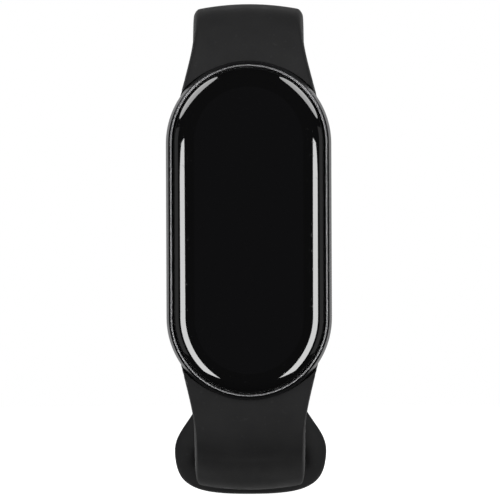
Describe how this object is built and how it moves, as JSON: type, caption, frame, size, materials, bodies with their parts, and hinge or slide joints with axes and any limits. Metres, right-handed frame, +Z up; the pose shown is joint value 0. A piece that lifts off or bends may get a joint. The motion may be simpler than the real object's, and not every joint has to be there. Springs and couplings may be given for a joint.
{
  "type": "fitness tracker band",
  "caption": "Pill-shaped wrist tracker with a curved glass front on a soft two-piece strap, closed by threading the tail through a ring and pressing it over a stud.",
  "frame": {"origin": "middle of the sensor window's flat, which rests on the wrist", "axes": "+Z up towards the upper strap half, -Y the way the display faces, +X across the strap to the right of the display"},
  "size_m": [0.0216, 0.0569, 0.0674],
  "materials": {
    "strap_rubber": "matte fine-grained moulded elastomer",
    "frame_metal": "glossy dark coating with a fine grain",
    "cover_glass": "glossy curved glass, black behind",
    "display_black": "dark unlit panel",
    "case_plastic": "satin moulded",
    "connector_plastic": "fine spark-eroded texture",
    "stud_plastic": "polished moulded",
    "chassis_plastic": "satin moulded",
    "seal_rubber": "matte",
    "sensor_glass": "glossy dark window",
    "board_green": "solder-masked board",
    "chip_black": "moulded package",
    "flex_amber": "polyimide flex",
    "cell_foil": "laminated foil pouch",
    "steel": "fine brushed",
    "contact_gold": "gold-plated, polished",
    "led_clear": "clear lens"
  },
  "bodies": {
    "band": {"glass_cover": "cover_glass", "cover_gasket": "seal_rubber", "frame_ring": "frame_metal", "display_panel": "display_black", "inner_chassis": "chassis_plastic", "display_flex": "flex_amber", "main_board": "board_green", "processor_shield": "steel", "memory_chip": "chip_black", "motion_sensor": "chip_black", "antenna_flex": "flex_amber", "battery_cell": "cell_foil", "vibration_motor_case": "steel", "vibration_motor_shaft": "steel", "back_gasket": "seal_rubber", "back_cover": "case_plastic", "sensor_board": "board_green", "sensor_led_centre": "led_clear", "photodiode_upper": "chip_black", "photodiode_lower": "chip_black", "optical_barrier": "chip_black", "sensor_window": "sensor_glass", "charging_contact_left": "contact_gold", "charging_contact_right": "contact_gold", "charging_magnet": "steel", "upper_strap": "strap_rubber", "lower_strap": "strap_rubber", "clasp_stud": "stud_plastic", "upper_connector": "connector_plastic", "upper_button_spring": "steel", "lower_connector": "connector_plastic", "lower_button_spring": "steel"},
    "tail": {"strap_tail": "strap_rubber"},
    "upper_button": {"upper_release_button": "connector_plastic"},
    "lower_button": {"lower_release_button": "connector_plastic"},
    "motor_rotor": {"vibration_motor_rotor": "steel"}
  },
  "joints": [
    {"name": "tail_peel", "type": "hinge", "parent": "band", "child": "tail", "pos_m": [0, 0.03907, -0.02723], "axis": [-1, 0, 0], "range_deg": [0, 90], "stiffness_Nm_per_rad": 0.003},
    {"name": "upper_release_press", "type": "slide", "parent": "band", "child": "upper_button", "axis": [0, -0.6443, 0.7647], "range_m": [0, 0.0008], "stiffness_N_per_m": 400},
    {"name": "lower_release_press", "type": "slide", "parent": "band", "child": "lower_button", "axis": [0, -0.7845, -0.6202], "range_m": [0, 0.0008], "stiffness_N_per_m": 400},
    {"name": "motor_spin", "type": "hinge", "parent": "band", "child": "motor_rotor", "pos_m": [0, -0.004, -0.0152], "axis": [0, 1, 0], "continuous": true}
  ]
}
